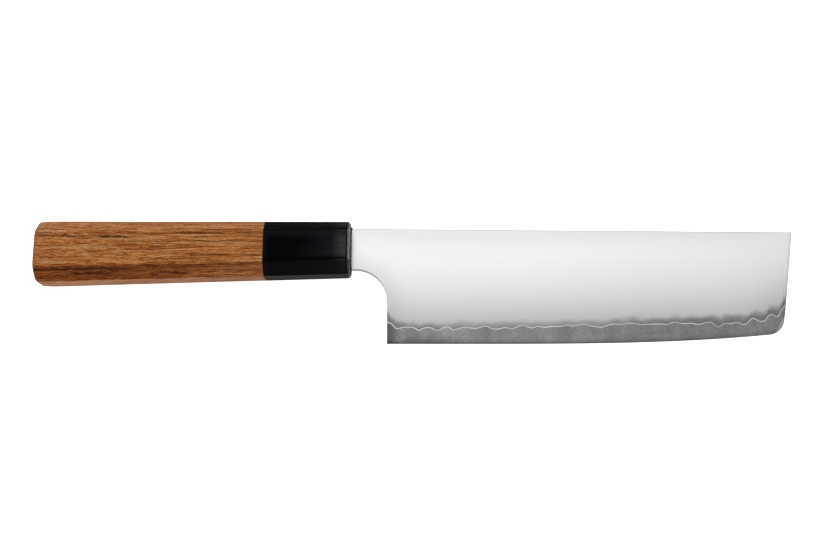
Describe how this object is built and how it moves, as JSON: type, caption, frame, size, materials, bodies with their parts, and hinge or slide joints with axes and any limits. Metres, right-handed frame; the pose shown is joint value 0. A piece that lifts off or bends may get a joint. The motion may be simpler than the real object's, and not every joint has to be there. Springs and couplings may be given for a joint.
{
  "type": "nakiri knife",
  "caption": "Straight-edged vegetable knife with a tall clad blade, squared tip and rounded choil, its hidden tang bedded in an octagonal wooden handle with a black ferrule.",
  "frame": {"origin": "centre of the bounding box in plan, at the height of the lowest face of the handle as the knife lies on its left side", "axes": "+X along the knife to the tip, +Y across the blade from the edge to the spine, +Z square to the blade out of its right side"},
  "size_m": [0.3064, 0.0494, 0.0205],
  "materials": {
    "core_steel": "matt grey, finely blasted, with a polished sharpening bevel",
    "bond_metal": "bright thin layer",
    "cladding_steel": "satin polish that dulls to a grey haze above the bond line",
    "ferrule_horn": "black horn or resin, satin gloss",
    "handle_wood": "oiled brown hardwood with dark streaks",
    "dowel_wood": "plain pale hardwood",
    "resin": "cured amber resin",
    "seal": "black filler"
  },
  "bodies": {
    "root": {"core_steel": "core_steel", "right_bond_layer": "bond_metal", "left_bond_layer": "bond_metal", "right_cladding": "cladding_steel", "left_cladding": "cladding_steel", "ferrule": "ferrule_horn", "handle": "handle_wood", "dowel": "dowel_wood", "tang_resin": "resin", "mouth_seal": "seal"}
  },
  "joints": []
}
